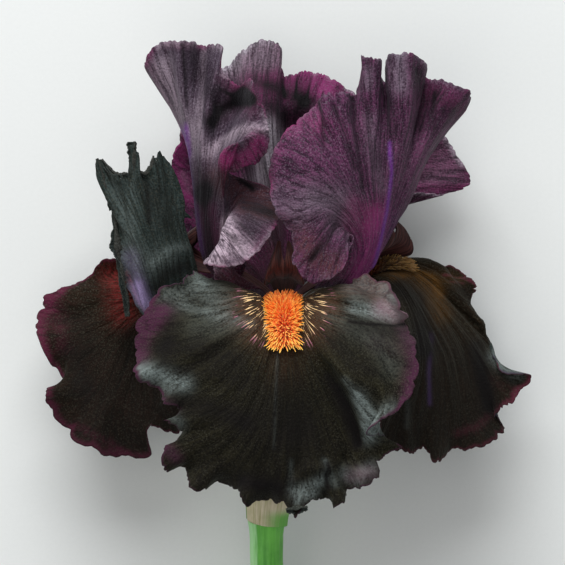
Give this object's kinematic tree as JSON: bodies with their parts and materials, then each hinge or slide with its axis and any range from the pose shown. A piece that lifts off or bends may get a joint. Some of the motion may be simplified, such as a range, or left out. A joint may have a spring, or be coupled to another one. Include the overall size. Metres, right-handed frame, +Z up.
{
  "type": "bearded iris flower",
  "caption": "Cut bearded iris flower lying on its back: ruffled upright standards, spreading velvety falls with hairy beards, style arms, bracts and a short stem.",
  "frame": {"origin": "on the surface that the flower lies on, under the middle of its outer box", "axes": "+Z up from the surface, the way the front fall and its beard face; +Y along the stem towards the standards' tips, as the flower's top; +X to the right seen from above"},
  "size_m": [0.1484, 0.2195, 0.0919],
  "materials": {
    "fall": "velvety petal with a magenta margin",
    "standard": "matte petal with fine dark veins",
    "beard": "dense soft hairs",
    "style": "smooth petal-like arms",
    "stamen": "matte anthers",
    "ovary": "smooth waxy plant tissue",
    "stem": "smooth waxy plant tissue",
    "green_bract": "thin leafy bract",
    "papery_bract": "dry papery bract"
  },
  "bodies": {
    "root": {"stem": "stem", "ovary": "ovary", "spathe_outer": "papery_bract", "spathe_inner": "green_bract", "fall_front": "fall", "fall_left": "fall", "fall_right": "fall", "beard_front": "beard", "beard_left": "beard", "beard_right": "beard", "standard_left": "standard", "standard_right": "standard", "standard_back": "standard", "style": "style", "stamen_front": "stamen", "stamen_left": "stamen", "stamen_right": "stamen"}
  },
  "joints": []
}
